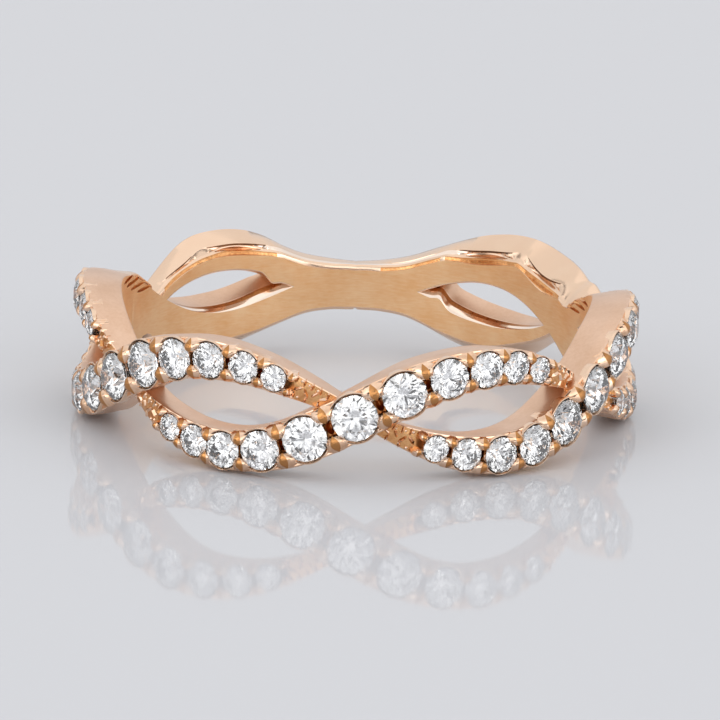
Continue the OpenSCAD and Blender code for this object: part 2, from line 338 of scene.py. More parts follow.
# Stones from the middle of a row to its end: share, diameter, drop of the girdle
rowStones = [
    (0.000, 1.70, 0.00),
    (0.170, 1.65, 0.00),
    (0.326, 1.45, -0.05),
    (0.467, 1.30, 0.00),
    (0.595, 1.15, 0.16),
    (0.708, 0.95, 0.20),
]
middleStone = len(rowStones)
rowLength = 2 * middleStone - 1
# Crossing that a row runs over, its first and its last stone
stoneRows = [(-2, 8, rowLength), (-1, 1, rowLength), (0, 1, rowLength), (1, 1, rowLength), (2, 1, 4)]
usualWidth = 1.6  # of the stones that the sizes of prongs and slots are meant for


# Smooth curve through the points of one column
def smoothAt(table, column, share):
    rows = np.array(table, float)
    xs, ys = rows[:, 0], rows[:, shapeColumns.index(column)]
    slopes = np.zeros(len(xs))
    slopes[1:-1] = (ys[2:] - ys[:-2]) / (xs[2:] - xs[:-2])
    k = np.clip(np.searchsorted(xs, share, side="left") - 1, 0, len(xs) - 2)
    step = xs[k + 1] - xs[k]
    s = (share - xs[k]) / step
    return (
        (2 * s**3 - 3 * s**2 + 1) * ys[k]
        + (s**3 - 2 * s**2 + s) * slopes[k] * step
        + (3 * s**2 - 2 * s**3) * ys[k + 1]
        + (s**3 - s**2) * slopes[k + 1] * step
    )


def frontAt(column, share):
    return smoothAt(frontShape, column, np.array([abs(share)]))[0]


def smoothStep(low, high, value):
    s = np.clip((value - low) / (high - low), 0, 1)
    return s * s * (3 - 2 * s)


# Added width that rises, stays and fades between four angles
def bumpAt(angle, added):
    start, full, fading, end = added["angles"]
    return added["width"] * smoothStep(start, full, angle) * (1 - smoothStep(fading, end, angle))


def weaveZ(share):
    turn = np.pi * share
    return bandSettings["weaveHeight"] * np.sin(turn) + bandSettings["weaveLean"] * np.sin(2 * turn)


def wrapped(share):
    return share - 2 * np.round(share / 2)


def mix(a, b, share):
    return a + (b - a) * share


# Points up a wall: height above the inner wall, width past the foot, and 1 where the wall's slope adds to it
def wallPoints(foot, slope, table):
    points = []
    for height, past, leans in table:
        points.append((np.full_like(foot, height), foot + past + height * slope * leans))
    return points


def stacked(points):
    return np.array(points).transpose(2, 0, 1)


# The rest of half a section, round from its side to the middle of its top
def withDome(points, low, rim, wide, fullness=1):
    count = bandSettings["rows"] - len(points)
    for k in range(1, count + 1):
        turn = math.pi / 2 * k / count
        points.append((mix(low, rim, math.sin(turn)), wide * math.cos(turn) ** fullness))
    return stacked(points)


frontWall = {
    "foot": [
        (-bandSettings["spare"], -0.05, 1),
        (-0.02, -0.06, 0),
        (0, -0.045, 0),
        (0.015, -0.022, 0),
        (0.04, -0.007, 1),
    ],
    "flatFrom": 0.08,
    "flatPoints": 9,
    "leastRail": 0.2,  # from the shoulder to the rim
    # below the rim, in from the shoulder
    "rail": [(0.12, 0), (0.06, 0), (0.02, 0.012), (0, 0.045), (0, 0.09)],
    "hollow": [(0.7, 0.62), (1, 0.36), (1.1, 0)],  # shares of the crown's depth and of the half height
}


# Flat side wall with eased edges, and a hollow top between two thin rails
def frontHalf(wIn, wOut, rim, crown):
    shoulder = np.minimum(bandSettings["shoulderRise"], rim - frontWall["leastRail"])
    slope = (wOut - wIn) / shoulder
    start = frontWall["flatFrom"]
    points = wallPoints(wIn, slope, frontWall["foot"])
    for along in np.linspace(0, 1, frontWall["flatPoints"]):
        points.append((mix(start, shoulder, along), mix(wIn + start * slope, wOut, along)))
    points += [(rim - below, wOut - inside) for below, inside in frontWall["rail"]]
    points += [(rim + deep * crown, wide * wOut) for deep, wide in frontWall["hollow"]]
    return stacked(points)


# Up the back's sides: degrees round the edge at the inner wall, with a narrow flat after the second, then how
# far along to the shoulder
backWall = {
    "foot": [(-bandSettings["spare"], -0.1, 0), (-0.02, -0.005, 0)],
    "turns": (0, 9, 14, 34, 58, 78),
    "edge": 0.13,
    "nearEdge": 0.06,  # on the side near the openings
    "flatAfter": 2,
    "flat": (0.016, 0.070),  # its height and width
    "alongs": (0.12, 0.3, 0.55, 0.8),
    "fullness": 1.7,
    "leastDome": 0.25,  # from the shoulder to the rim
}
# The same where the far side is hollow: height above the inner wall, share of the way from the inner wall's
# edge to the dome's lip, and width past the lip
hollowWall = [(0.03, 0.03, 0), (0.07, 0.09, 0), (0.09, 0.40, 0), (0.16, 0.56, 0), (0.32, 0.78, 0)]
hollowWall += [(0.335, 0.97, 0), (0.20, 1, 0), (0.135, 1, 0.01), (0.155, 1, 0.08), (0.24, 1, 0.14)]
# The crease over a hollow facet narrows as the facet deepens: number of its upper point, how fast that moves
# towards the one below, and how far
hollowSettings = {"fullness": 1.5, "lipWidth": 0.14, "creasePoint": 8, "creaseSpeed": 5, "creaseMost": 0.98}


# Round polished back: a hollow facet at the inner wall, then a dome
def backHalf(wIn, wOut, rim, hollow, cut, chamfer, edge, flat):
    shoulder = np.minimum(bandSettings["shoulderRise"], rim - backWall["leastDome"])
    low = wIn - chamfer - cut
    points = wallPoints(low, 0, backWall["foot"])
    plain = []
    for i, degrees in enumerate(backWall["turns"]):
        turn = math.radians(degrees)
        up, out = backWall["flat"] if i >= backWall["flatAfter"] else (0, 0)
        plain.append((edge * (1 - math.cos(turn)) + flat * up, low + edge * math.sin(turn) + flat * out))
    height, width = plain[-1]
    for along in backWall["alongs"]:
        outwards = 1 - (1 - along) ** backWall["fullness"]
        plain.append((mix(height, shoulder, along), mix(width, wOut, outwards)))
    number = hollowSettings["creasePoint"]
    upper, below = plain[number], plain[number - 1]
    closed = np.minimum(hollow * hollowSettings["creaseSpeed"], hollowSettings["creaseMost"])
    plain[number] = (mix(upper[0], below[0], closed), mix(upper[1], below[1], closed))
    for (height, width), (hollowHeight, share, past) in zip(plain, hollowWall):
        hollowWidth = mix(low, wIn + hollowSettings["lipWidth"], share) + past
        points.append((mix(height, hollowHeight, hollow), mix(width, hollowWidth, hollow)))
    points.append((shoulder, wOut))
    return withDome(points, shoulder, rim, wOut)


ledgeWall = {
    "height": 0.35,  # of the bevel
    "foot": [(-bandSettings["spare"], -0.03, 1), (-0.02, -0.03, 0), (0, -0.012, 0), (0.02, 0, 1)],
    "bevel": [(0.1, 0, 1), (0.2, 0, 1), (0.3, 0, 1)],
    "edge": 0.02,
    "edgeWidth": (0.012, 0.008),
    "wallFrom": 0.05,  # above the bevel
    "wallPoints": 5,
    "rail": 0.14,
    "fullness": 0.7,
}


# Polished bevel at the inner wall, a satin wall beyond it, and a round edge
def ledgeHalf(wIn, bevel, wide, rim):
    step, edge = ledgeWall["height"], ledgeWall["edge"]
    corner, past = ledgeWall["edgeWidth"]
    top = rim - ledgeWall["rail"]
    table = [*ledgeWall["foot"], *ledgeWall["bevel"], (step - edge, 0, 1), (step, -corner, 1)]
    points = wallPoints(wIn, bevel / step, table)
    points.append((np.full_like(wIn, step + edge), wIn + bevel - past))
    for along in np.linspace(0, 1, ledgeWall["wallPoints"]):
        points.append((mix(step + ledgeWall["wallFrom"], top, along), mix(wIn + bevel, wIn + wide, along)))
    return withDome(points, top, rim, wIn + wide, ledgeWall["fullness"])


# Rows of faces up half a section, and where their finishes lie
faceRows = {
    "all": slice(0, None),
    "top": slice(16, None),
    "carving": slice(17, None),
    "lowerEdge": slice(7, 9),
    "hollow": slice(2, 5),
    "crease": slice(9, 10),
    "bevelFoot": slice(2, 5),
    "bevelTop": slice(5, 8),
    "ledgeWall": slice(9, 14),
}
finishSettings = {
    "carved": (0.775, 0.95),  # shares between which a strand's top is carved
    "plainPast": 2,  # degrees past the start of the plain back
    "brightFrom": 152,  # degrees from the front, beyond which the back's lower edge gets the painted highlight
    "hollowFrom": 0.12,  # of a hollow's depth
    "creaseFrom": 0.4,
    "ledgePast": 3,  # degrees past the last crossing
}


def finishUp(angles, share, hollow, isLedge, isDome, settings):
    away = np.abs(angles)
    low, high = settings["carved"]
    isCarved = (np.abs(share) > low) & (np.abs(share) < high)
    isPlain = away > bandSettings["plain"][0] + settings["plainPast"]
    ledge = isLedge & (away > lastCrossing + settings["ledgePast"])
    finish = np.full((len(angles), bandSettings["rows"] - 1), finishNumber["satin"])
    finish[:, faceRows["top"]] = finishNumber["cut"]
    for where, rows, name in [
        # the carved tops get painted shade
        (isCarved, "carving", "groundShade"),
        (isPlain, "all", "polished"),
        # painted highlight along the back's lower edge
        (isDome & (away > settings["brightFrom"]), "lowerEdge", "bright"),
        # painted shade and reflected gold on the hollow facets
        (hollow > settings["hollowFrom"], "hollow", "groundShade"),
        # painted shadow line in the crease over a deep hollow
        (hollow > settings["creaseFrom"], "crease", "crease"),
        # ledges: a painted highlight on the bevel's foot and painted shade on its top
        (ledge, "bevelFoot", "bright"),
        (ledge, "bevelTop", "deep"),
        (ledge, "ledgeWall", "satin"),
    ]:
        finish[where, faceRows[rows]] = finishNumber[name]
    return finish


# Closed sections swept round the finger hole, each face with its finish's number
def sweptMesh(name, angles, heights, levels, finish):
    turn = np.radians(angles)[:, None]
    radius = fingerR + heights
    points = np.stack([radius * np.sin(turn), -radius * np.cos(turn), levels], 2) * mm
    count, around = heights.shape
    index = np.arange(count * around).reshape(count, around)
    following = np.roll(index, -1, 0)
    quads = np.stack([index, following, np.roll(following, -1, 1), np.roll(index, -1, 1)], 2)
    mesh = bpy.data.meshes.new(name)
    mesh.from_pydata(points.reshape(-1, 3).tolist(), [], quads.reshape(-1, 4).tolist())
    for material in gold.values():
        mesh.materials.append(material)
    mesh.polygons.foreach_set("material_index", finish.ravel().astype(np.int32))
    return mesh


# One of the two strands: 0 crosses over in the middle of the front and at the last crossings, 1 between them
def strandMesh(which):
    angles = np.arange(-180, 180, bandSettings["step"])
    away = np.abs(angles)
    isBack = away > lastCrossing
    share = wrapped(angles / pitch - which)
    back = np.clip((away - lastCrossing) / pitch, 0, 1)
    table = (backOver, backUnder)[which]
    shape = {}
    for name in shapeColumns[1:]:
        shape[name] = np.where(isBack, smoothAt(table, name, back), smoothAt(frontShape, name, np.abs(share)))
    fade = np.where(isBack, 1 - bandSettings["backLoss"] * back ** bandSettings["backEase"], 1)
    middle = weaveZ(share) * fade
    bare = smoothStep(*bandSettings["taper"], np.abs(share)) * ~isBack
    plain = smoothStep(*bandSettings["plain"], away)
    crown = mix(bandSettings["crown"], bandSettings["taperCrown"], np.maximum(bare, plain))
    rim = bandSettings["rimRise"] - shape["drop"]
    hollow, cut = np.zeros_like(back), np.zeros_like(back)
    for at, half, depth, down in hollows[which]:
        dip = np.clip(1 - ((back - at) / half) ** 2, 0, 1) ** hollowSettings["fullness"] * isBack
        hollow += depth * dip
        cut += down * dip
    chamfer = np.interp(back, *zip(*chamfers))
    extra, web = bumpAt(away, fullDome), bumpAt(away, earlyEnd)
    high = middle >= 0
    halves, finishes = [], []
    for above in (False, True):
        far = high == above
        wIn = np.where(far, shape["farIn"], shape["nearIn"] + web)
        wOut = np.where(far, shape["farOut"], shape["nearOut"] + web)
        wOut = wOut + extra * ((which == 0) & ((angles > 0) == above))
        front = frontHalf(wIn, wOut, rim, crown)
        edge = np.where(far, backWall["edge"], backWall["nearEdge"])
        seen = far & above
        rear = backHalf(wIn, wOut, rim, hollow * seen, cut * seen, chamfer * ~far, edge, seen)
        isLedge = above & ~far & isBack
        if above:
            shares, bevels, wides = zip(*ledges)
            ledge = ledgeHalf(wIn, np.interp(back, shares, bevels), np.interp(back, shares, wides), rim)
            rear = np.where(isLedge[:, None, None], ledge, rear)
        halves.append(mix(front, rear, plain[:, None, None]))
        finishes.append(finishUp(angles, share, hollow * seen, isLedge, seen & isBack, finishSettings))
    lower, upper = halves
    heights = np.concatenate([lower[:, :, 0], upper[:, -2::-1, 0]], 1)
    levels = middle[:, None] + np.concatenate([-lower[:, :, 1], upper[:, -2::-1, 1]], 1)
    inside = np.full((len(angles), 1), finishNumber["inside"])
    finish = np.concatenate([finishes[0], finishes[1][:, ::-1], inside], 1)
    return sweptMesh("strand%d" % which, angles, heights, levels, finish)


def newObject(name, mesh):
    thing = bpy.data.objects.new(name, mesh)
    scene.collection.objects.link(thing)
    return thing


def meshInMm(name, points, faces):
    mesh = bpy.data.meshes.new(name)
    mesh.from_pydata([tuple(c * mm for c in point) for point in points], [], faces)
    return mesh


def faceOutwards(mesh):
    work = bmesh.new()
    work.from_mesh(mesh)
    bmesh.ops.recalc_face_normals(work, faces=work.faces)
    work.to_mesh(mesh)
    work.free()


# Smooth faces, and smooth edges where the test says so
def shadeSmooth(mesh, isSmooth):
    work = bmesh.new()
    work.from_mesh(mesh)
    work.faces.ensure_lookup_table()
    for face in work.faces:
        face.smooth = True
    for edge in work.edges:
        edge.smooth = isSmooth(edge)
    work.to_mesh(mesh)
    work.free()


# Places on the band, as on_band in the part's source: +X along the strand, +Y across it, +Z outwards
def weaveSlope(share):
    step = 0.01
    return math.atan2(weaveZ(share + step) - weaveZ(share - step), girdleR * 2 * step * math.radians(pitch))


def placeOnBand(crossing, share, drop, across=0.0, flip=False):
    turn = Matrix.Rotation(math.radians((crossing + share) * pitch), 4, "Z")
    move = Matrix.Translation((0, -(girdleR - drop), weaveZ(share)))
    stand = Matrix.Rotation(math.pi / 2, 4, "X") @ Matrix.Rotation(weaveSlope(share), 4, "Z")
    own = Matrix.Rotation(math.pi if flip else 0, 4, "Z") @ Matrix.Translation((0, across, 0))
    return turn @ move @ stand @ own


def stoneAt(n):
    return rowStones[abs(n - middleStone)]


def rowShare(n):
    return math.copysign(stoneAt(n)[0], n - middleStone)


def stonePlaces():
    for crossing, first, last in stoneRows:
        for n in range(first, last + 1):
            yield crossing, rowShare(n), *stoneAt(n)[1:]


# Past the ends of a whole row: share from the last stone, share of its width, drop
rowEnd = {"past": 0.055, "width": 0.8, "drop": 0.2}


# Between two neighbours, and past the ends of a whole row
def gapPlaces():
    for crossing, first, last in stoneRows:
        for n in range(first - 1, last + 1):
            if n in (0, rowLength):
                share = rowShare(max(n, 1)) + math.copysign(rowEnd["past"], n - middleStone)
                yield crossing, share, stoneAt(1)[1] * rowEnd["width"], rowEnd["drop"], True
                continue
            a, b = stoneAt(n), stoneAt(n + 1)
            share = (rowShare(n) * b[1] + rowShare(n + 1) * a[1]) / (a[1] + b[1])
            yield crossing, share, (a[1] + b[1]) / 2, (a[2] + b[2]) / 2, False


# Geometry Nodes: one tool set on every place of a list, with the turn and size that each place holds
def makeSettingTree():
    tree = bpy.data.node_groups.new("setOnPlaces", "GeometryNodeTree")
    sockets = {}
    kinds = {"Geometry": "Geometry", "Tool": "Object", "Size": "Float", "Finish": "Material"}
    for name, kind in kinds.items():
        sockets[name] = tree.interface.new_socket(name=name, in_out="INPUT", socket_type="NodeSocket" + kind)
    tree.interface.new_socket(name="Geometry", in_out="OUTPUT", socket_type="NodeSocketGeometry")
    nodes, links = tree.nodes, tree.links
    start = nodes.new("NodeGroupInput")
    tool = nodes.new("GeometryNodeObjectInfo")
    turn = addNode(nodes, "GeometryNodeInputNamedAttribute", data_type="FLOAT_VECTOR", Name="turn")
    size = addNode(nodes, "GeometryNodeInputNamedAttribute", data_type="FLOAT_VECTOR", Name="size")
    rotation = nodes.new("FunctionNodeEulerToRotation")
    scaled = addNode(nodes, "ShaderNodeVectorMath", operation="SCALE")
    put = nodes.new("GeometryNodeInstanceOnPoints")
    real = nodes.new("GeometryNodeRealizeInstances")
    finish = nodes.new("GeometryNodeSetMaterial")
    end = nodes.new("NodeGroupOutput")
    links.new(start.outputs["Tool"], tool.inputs["Object"])
    links.new(start.outputs["Geometry"], put.inputs["Points"])
    links.new(tool.outputs["Geometry"], put.inputs["Instance"])
    links.new(turn.outputs["Attribute"], rotation.inputs["Euler"])
    links.new(rotation.outputs["Rotation"], put.inputs["Rotation"])
    links.new(size.outputs["Attribute"], scaled.inputs[0])
    links.new(start.outputs["Size"], scaled.inputs["Scale"])
    links.new(scaled.outputs["Vector"], put.inputs["Scale"])
    links.new(put.outputs["Instances"], real.inputs["Geometry"])
    links.new(real.outputs["Geometry"], finish.inputs["Geometry"])
    links.new(start.outputs["Finish"], finish.inputs["Material"])
    links.new(finish.outputs["Geometry"], end.inputs["Geometry"])
    return tree, {name: socket.identifier for name, socket in sockets.items()}


settingTree, settingSockets = makeSettingTree()


# Places are pairs of a matrix in mm and a size. Gives back a plain mesh object
def setOnPlaces(name, tool, places, finish):
    mesh = bpy.data.meshes.new(name + "Places")
    mesh.from_pydata([matrix.translation * mm for matrix, size in places], [], [])
    turn = mesh.attributes.new("turn", "FLOAT_VECTOR", "POINT")
    size = mesh.attributes.new("size", "FLOAT_VECTOR", "POINT")
    for i, (matrix, scale) in enumerate(places):
        turn.data[i].vector = tuple(matrix.to_euler())
        size.data[i].vector = scale
    carrier = newObject(name + "Places", mesh)
    modifier = carrier.modifiers.new("setting", "NODES")
    modifier.node_group = settingTree
    modifier[settingSockets["Tool"]] = tool
    modifier[settingSockets["Size"]] = 1.0
    modifier[settingSockets["Finish"]] = gold[finish]
    made = newObject(name, evaluatedMesh(carrier))
    bpy.data.objects.remove(carrier)
    bpy.data.objects.remove(tool)
    return made


def evaluatedMesh(thing):
    bpy.context.view_layer.update()
    graph = bpy.context.evaluated_depsgraph_get()
    return bpy.data.meshes.new_from_object(thing.evaluated_get(graph))


def booleanMesh(thing, other, operation):
    modifier = thing.modifiers.new(operation, "BOOLEAN")
    modifier.operation = operation
    modifier.solver = "MANIFOLD"
    modifier.material_mode = "TRANSFER"
    modifier.object = other
    mesh = evaluatedMesh(thing)
    thing.modifiers.remove(modifier)
    thing.data = mesh
    bpy.data.objects.remove(other)


# Solid of revolution from pairs of radius and height, from the lower pole to the upper
def lathe(name, profile, sides):
    points = [(0, 0, profile[0][1])]
    for radius, height in profile[1:-1]:
        for turn in np.linspace(0, 2 * math.pi, sides, False):
            points.append((radius * math.cos(turn), radius * math.sin(turn), height))
    points.append((0, 0, profile[-1][1]))
    rings = len(profile) - 2
    last = 1 + (rings - 1) * sides
    faces = []
    for i in range(sides):
        j = (i + 1) % sides
        faces.append((0, 1 + j, 1 + i))
        for k in range(rings - 1):
            a = 1 + k * sides
            faces.append((a + i, a + j, a + sides + j, a + sides + i))
        faces.append((last + i, last + j, len(points) - 1))
    return newObject(name, meshInMm(name, points, faces))


# What is cut from the band. Profiles are pairs of radius and height: a pocket's in radii of its stone, with a
# cone, a wall and an open top, a slot's in mm, and a groove's in its half sizes
cutters = {
    "pocket": [(0, -0.93), (0.12, -0.90), (1.0, -0.10), (1.03, -0.05), (1.03, 0.6), (0, 0.6)],
    "pocketSides": 48,
    "slot": [(0, -0.62), (0.06, -0.56), (0.13, -0.32), (0.17, -0.05), (0.17, 0.5), (0, 0.5)],
    "slotSides": 16,
    "slotAcross": 1.7,  # times as wide across the strand as along it
    "groove": [(0, -1), (0.5, -0.86), (0.86, -0.5), (1, 0), (0.86, 0.5), (0.5, 0.86), (0, 1)],
    "grooveSides": 24,
    "grooveDepth": 0.12,
    "holeHalf": 6,
    "holeSides": 720,
}
# Grooves in the inner wall's corners beside the last crossings, with painted shade in them: degrees from the
# front, height, half length along the band, half width
grooves = [
    (-103, 1.80, 0.70, 0.07),
    (-107, 1.57, 0.80, 0.08),
    (-111, 1.32, 0.80, 0.08),
    (-115, 1.06, 0.60, 0.07),
    (104, 1.40, 0.70, 0.07),
    (108, 1.12, 0.80, 0.08),
    (112, 0.84, 0.70, 0.07),
]


def cutPockets(band):
    tool = lathe("pocketTool", cutters["pocket"], cutters["pocketSides"])
    places = []
    for crossing, share, width, drop in stonePlaces():
        places.append((placeOnBand(crossing, share, drop), (width / 2,) * 3))
    booleanMesh(band, setOnPlaces("pockets", tool, places, "cut"), "DIFFERENCE")


def cutSlots(band):
    tool = lathe("slotTool", cutters["slot"], cutters["slotSides"])
    places = []
    for crossing, share, width, drop, atEnd in gapPlaces():
        if not atEnd:
            across = cutters["slotAcross"] * width / usualWidth
            places.append((placeOnBand(crossing, share, drop), (1.0, across, 1.0)))
    booleanMesh(band, setOnPlaces("slots", tool, places, "cut"), "DIFFERENCE")


def cutHole(band):
    half = cutters["holeHalf"]
    profile = [(0, -half), (fingerR, -half), (fingerR, half), (0, half)]
    hole = lathe("holeTool", profile, cutters["holeSides"])
    # The inner wall takes the inside gold, with painted light in its tint
    hole.data.materials.append(gold["inside"])
    booleanMesh(band, hole, "DIFFERENCE")


def cutGrooves(band):
    tool = lathe("grooveTool", cutters["groove"], cutters["grooveSides"])
    places = []
    for angle, height, half, wide in grooves:
        turn = Matrix.Rotation(math.radians(angle), 4, "Z")
        move = Matrix.Translation((0, -fingerR, height))
        place = turn @ move @ Matrix.Rotation(math.pi / 2, 4, "X")
        places.append((place, (half, wide, cutters["grooveDepth"])))
    booleanMesh(band, setOnPlaces("grooves", tool, places, "groundShade"), "DIFFERENCE")


def makeBand():
    band = newObject("wovenBand", strandMesh(0))
    other = newObject("otherStrand", strandMesh(1))
    faceOutwards(band.data)
    faceOutwards(other.data)
    booleanMesh(band, other, "UNION")
    print("strands woven")
    cutPockets(band)
    cutSlots(band)
    print("pockets and slots cut")
    cutHole(band)
    cutGrooves(band)
    print("finger hole and grooves cut,", len(band.data.polygons), "faces")
    return band


# Half sizes and depths of the painted shade between the stones, and degrees past which an edge is sharp
dressSettings = {"along": 0.2, "across": 0.36, "depths": (0.1, 1.2), "sharp": 32}


# Painted shade between the stones, and sharp edges by angle
def dressBand(band, settings):
    mesh = band.data
    count = len(mesh.polygons)
    centres = np.empty(count * 3)
    finish = np.empty(count, np.int32)
    mesh.polygons.foreach_get("center", centres)
    mesh.polygons.foreach_get("material_index", finish)
    flat = np.c_[centres.reshape(-1, 3) / mm, np.ones(count)]
    least, most = settings["depths"]
    for crossing, share, width, drop, atEnd in gapPlaces():
        x, y, z = (flat @ np.array(placeOnBand(crossing, share, drop).inverted()).T).T[:3]
        isNear = (np.abs(x) < settings["along"]) & (np.abs(y) < settings["across"] * width / usualWidth)
        # painted shade on the faces deep between the stones
        finish[isNear & (z < -least) & (z > -most)] = finishNumber["deep"]
    mesh.polygons.foreach_set("material_index", finish)
    sharp = math.radians(settings["sharp"])
    shadeSmooth(mesh, lambda edge: edge.calc_face_angle(0) < sharp)


band = makeBand()
dressBand(band, dressSettings)
print("band dressed in", [material.name for material in band.data.materials])

# Prongs, mm for stones of the usual width, +Y outwards from the strand's middle. Each row crosses the prong:
# its place, half width and height of the leaf-shaped facet on top, half width and height of the flanks
prongRows = [
    (0.25, 0.008, 0.06, 0.12, -0.06),
    (0.34, 0.070, 0.13, 0.22, 0.00),
    (0.44, 0.130, 0.18, 0.31, 0.01),
    (0.55, 0.160, 0.19, 0.38, 0.00),
    (0.67, 0.155, 0.16, 0.43, -0.05),
    (0.78, 0.115, 0.09, 0.44, -0.10),
    (0.87, 0.060, 0.01, 0.39, -0.15),
    (0.95, 0.008, -0.06, 0.28, -0.19),
]
prongSettings = {
    "ridge": 0.028,  # height of the leaf's vein, and its way from the middle
    "ridgeOff": 0.05,
    "bulge": 0.03,
    "footDepth": 0.6,
    "footMiddle": 0.6,
    "footShrink": (0.85, 0.9),
    "sharp": 50,  # degrees
    "bevel": 0.012,
    "bevelFrom": 24,  # degrees
    "longest": 1.15,
    "height": (0.55, 0.45),  # fixed share, and share that grows with the stones
}


def makeProngTool(settings):
    points, faces, leaf = [], [], []
    columns, leafColumns = 7, (2, 3)
    for y, facet, high, edge, low in prongRows:
        flank, top = (facet + edge) / 2, (high + low) / 2 + settings["bulge"]
        points += [(-edge, y, low), (-flank, y, top), (-facet, y, high)]
        points += [(min(settings["ridgeOff"], facet), y, high + settings["ridge"])]
        points += [(facet, y, high), (flank, y, top), (edge, y, low)]
    count = len(prongRows)
    for i in range(count - 1):
        for k in range(columns - 1):
            a = i * columns + k
            faces.append((a, a + 1, a + columns + 1, a + columns))
            leaf.append(k in leafColumns)
    rim = list(range(columns)) + [(i + 1) * columns - 1 for i in range(1, count)]
    rim += [(count - 1) * columns + k for k in range(columns - 2, -1, -1)]
    rim += [i * columns for i in range(count - 2, 0, -1)]
    low = len(points)
    middle, (thin, short) = settings["footMiddle"], settings["footShrink"]
    for i in rim:
        x, y, z = points[i]
        points.append((x * thin, middle + (y - middle) * short, -settings["footDepth"]))
    for i in range(len(rim)):
        j = (i + 1) % len(rim)
        faces.append((rim[i], rim[j], low + j, low + i))
        leaf.append(False)
    faces.append(tuple(range(low, low + len(rim))))
    leaf.append(False)
    mesh = meshInMm("prongTool", points, faces)
    # The leaf is marked as a facet: brushed, with painted shade in its tint
    mark = mesh.attributes.new("facet", "FLOAT", "FACE")
    mark.data.foreach_set("value", np.array(leaf, np.float32))
    faceOutwards(mesh)
    sharp = math.radians(settings["sharp"])

    # Sharp round the leaf too
    def isSmooth(edge):
        marks = {leaf[face.index] for face in edge.link_faces}
        return len(marks) == 1 and edge.calc_face_angle(0) < sharp

    shadeSmooth(mesh, isSmooth)
    tool = newObject("prongTool", mesh)
    bevel = tool.modifiers.new("soften", "BEVEL")
    bevel.width = settings["bevel"] * mm
    bevel.segments = 2
    bevel.limit_method = "ANGLE"
    bevel.angle_limit = math.radians(settings["bevelFrom"])
    tool.data = evaluatedMesh(tool)
    tool.modifiers.clear()
    return tool


def makeProngs(settings):
    fixed, growing = settings["height"]
    places = []
    for crossing, share, width, drop, atEnd in gapPlaces():
        scale = width / usualWidth
        half = frontAt("farOut", share) * math.cos(weaveSlope(share))
        reach = min(half / prongRows[-1][0], settings["longest"] * scale)
        for flip in (False, True):
            place = placeOnBand(crossing, share, drop, flip=flip)
            places.append((place, (scale, reach, fixed + growing * scale)))
    return setOnPlaces("splitProngs", makeProngTool(settings), places, "cut")


# Collars between the prongs, in radii of their stone: a thin lip at the wall, and a bevel down to the stone
collarSettings = {
    "inner": [(1.02, -0.35), (1.02, -0.06), (1.075, 0.02), (1.09, 0.05)],  # radius and height, up
    "outer": [(1.115, 0.05), (1.13, 0.03), (1.135, -0.06), (1.11, -0.35)],  # and down again
    "reach": 62,  # degrees to each side
    "count": 24,
    "sink": 0.22,  # at the ends
    "sinkEase": 5,
}


def makeCollarTool(settings):
    section, count = settings["inner"] + settings["outer"], settings["count"]
    around = len(section)
    points, faces = [], []
    for i in range(count + 1):
        u = 2 * i / count - 1
        a = math.radians(90 + u * settings["reach"])
        sink = settings["sink"] * abs(u) ** settings["sinkEase"]
        points += [(r * math.cos(a), r * math.sin(a), z - sink) for r, z in section]
    for i in range(count):
        for k in range(around):
            a, b = i * around + k, i * around + (k + 1) % around
            faces.append((a, b, b + around, a + around))
    faces.append(tuple(range(around)))
    faces.append(tuple(count * around + k for k in range(around)))
    mesh = meshInMm("collarTool", points, faces)
    faceOutwards(mesh)
    return newObject("collarTool", mesh)


def makeCollars(settings):
    places = []
    for crossing, share, width, drop in stonePlaces():
        for flip in (False, True):
            places.append((placeOnBand(crossing, share, drop, flip=flip), (width / 2,) * 3))
    return setOnPlaces("collars", makeCollarTool(settings), places, "polished")


# Beads and graver cuts where a strand narrows and passes under: share past the last stone, across, size, and
# a cut's turn in degrees
taperBeads = [
    (0.066, 0.33, 0.085),
    (0.066, -0.33, 0.080),
    (0.092, 0.30, 0.070),
    (0.096, -0.29, 0.070),
    (0.118, 0.27, 0.060),
    (0.124, -0.25, 0.060),
    (0.150, 0.23, 0.055),
]
taperCuts = [
    (0.074, 0.27, 0.55, 84),
    (0.102, 0.27, 0.60, 97),
    (0.130, 0.25, 0.62, 88),
    (0.160, 0.24, 0.60, 101),
    (0.188, 0.20, 0.58, 90),
    (0.216, 0.16, 0.52, 82),
    (0.082, -0.27, 0.52, 94),
    (0.124, -0.27, 0.60, 80),
    (0.168, -0.24, 0.56, 100),
    (0.205, -0.18, 0.50, 86),
    (0.090, 0.00, 0.75, 38),
    (0.118, -0.04, 0.80, 128),
    (0.146, 0.03, 0.70, 55),
    (0.176, -0.02, 0.74, 24),
    (0.206, 0.01, 0.62, 70),
    (0.238, 0.0, 0.70, 48),
]
taperHalf = 0.45  # half height of the strand that these places are meant for
beadSettings = {
    "profile": [(0, -1.2), (0.9, -1.1), (1.0, -0.1), (0.92, 0.35), (0.71, 0.68), (0.38, 0.91), (0, 1.0)],
    "sides": 14,
}
cutSettings = {
    "length": 0.54,
    "width": 0.17,
    "height": 0.15,
    "farHeight": 0.8,  # share of it at the ridge's far end
    "ridge": (0.45, 0.6),  # where the ridge starts and ends, and its corners lie, in half lengths
    "corner": 0.5,
    "slant": 1.6,  # the gentle side's width, of the steep side's
    "depth": 0.25,
}


